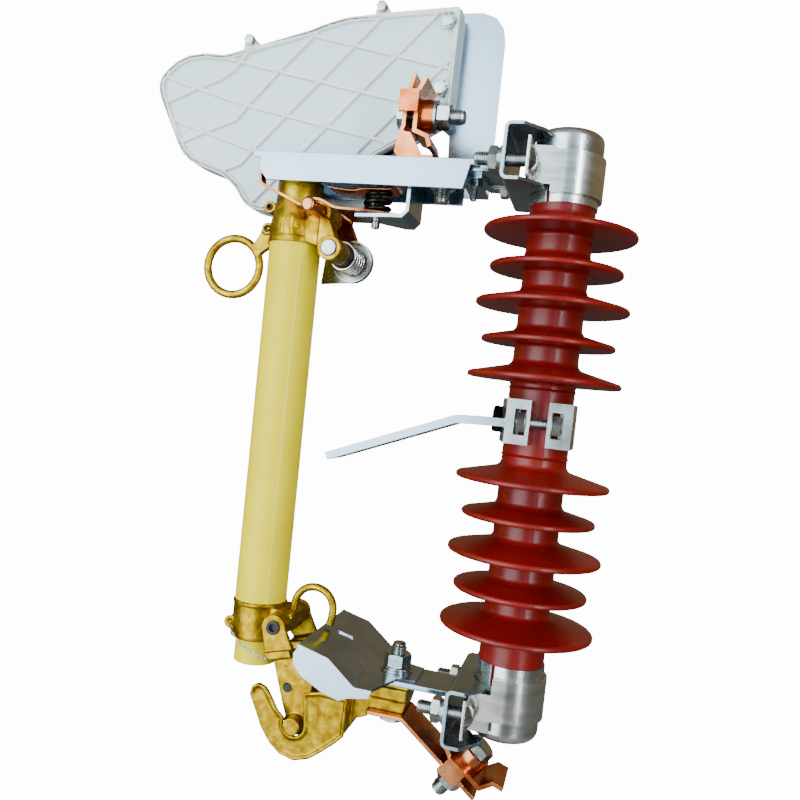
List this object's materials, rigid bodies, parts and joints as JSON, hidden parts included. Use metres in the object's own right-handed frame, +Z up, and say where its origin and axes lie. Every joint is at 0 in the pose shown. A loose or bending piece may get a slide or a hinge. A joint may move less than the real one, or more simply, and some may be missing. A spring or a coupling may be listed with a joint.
{
  "type": "expulsion fuse",
  "caption": "Load-break drop-out expulsion fuse: a ribbed silicone post with a side bar, a tube fuse holder between top contact and hinge, and an arc chute.",
  "frame": {"origin": "on the underside of the mounting bar, midway between its two holes", "axes": "+Z up along the insulator, -X from the insulator towards the fuse tube, +Y towards the side of the arc chute"},
  "size_m": [0.41, 0.1122, 0.6017],
  "materials": {
    "silicone": "satin brick-red silicone rubber",
    "galvanised_steel": "bright zinc on rolled steel",
    "zinc_plated_steel": "pale blue zinc plate",
    "bolt_steel": "zinc-plated turned steel",
    "dark_steel": "blackened spring steel",
    "copper": "rolled copper",
    "bronze": "sand-cast bronze with a speckled skin",
    "fibreglass": "glossy yellow wound glass fibre",
    "chute_plastic": "moulded cream-white plastic"
  },
  "bodies": {
    "frame": {"insulator": "silicone", "top_cap": "galvanised_steel", "bottom_cap": "galvanised_steel", "top_strap": "galvanised_steel", "bottom_strap": "galvanised_steel", "top_bracket": "zinc_plated_steel", "bottom_bracket": "zinc_plated_steel", "top_strap_bolts": "bolt_steel", "bottom_strap_bolts": "bolt_steel", "mid_clamp_left": "zinc_plated_steel", "mid_clamp_right": "zinc_plated_steel", "mid_clamp_bolts": "bolt_steel", "bar_bolt": "dark_steel", "mounting_bar": "zinc_plated_steel", "top_arm": "zinc_plated_steel", "hood": "zinc_plated_steel", "hood_bolts": "bolt_steel", "contact_strip": "copper", "spring_leaf": "copper", "contact_spring": "dark_steel", "spring_hook": "zinc_plated_steel", "chute_near_half": "chute_plastic", "chute_far_half": "chute_plastic", "chute_plate": "zinc_plated_steel", "chute_screws": "bolt_steel", "top_terminal_strap": "copper", "top_terminal_clamp": "copper", "top_terminal_bolt": "bolt_steel", "bottom_arm": "zinc_plated_steel", "hinge_casting": "bronze", "shield_plate": "zinc_plated_steel", "hinge_bolt": "bolt_steel", "bottom_terminal_strap": "copper", "bottom_terminal_clamp": "copper", "bottom_terminal_bolt": "bolt_steel"},
    "link": {"toggle_link": "bronze", "toggle_pin": "dark_steel"},
    "holder": {"fuse_tube": "fibreglass", "upper_ferrule": "bronze", "ring_pins": "dark_steel", "contact_pin": "copper", "lower_ferrule": "bronze", "lift_loop": "bronze", "link_wire": "bolt_steel", "torsion_spring": "bolt_steel"},
    "blade": {"blade_lever": "bolt_steel", "arc_blade": "copper"}
  },
  "joints": [
    {"name": "drop_out", "type": "hinge", "parent": "frame", "child": "link", "pos_m": [-0.0358, 0, -0.21181], "axis": [0, -1, 0], "range_deg": [0, 150], "deforming": ["contact_strip"]},
    {"name": "toggle_fold", "type": "hinge", "parent": "link", "child": "holder", "pos_m": [-0.0588, 0, -0.14281], "axis": [0, -1, 0], "range_deg": [-23, 0]},
    {"name": "blade_lag", "type": "hinge", "parent": "holder", "child": "blade", "pos_m": [-0.0498, 0, 0.14219], "axis": [0, -1, 0], "range_deg": [-25, 0], "stiffness_Nm_per_rad": 0.3, "springref_deg": 34.38}
  ],
  "couplings": [
    {"joint": "toggle_fold", "follows": "drop_out", "ratio": -0.15}
  ]
}
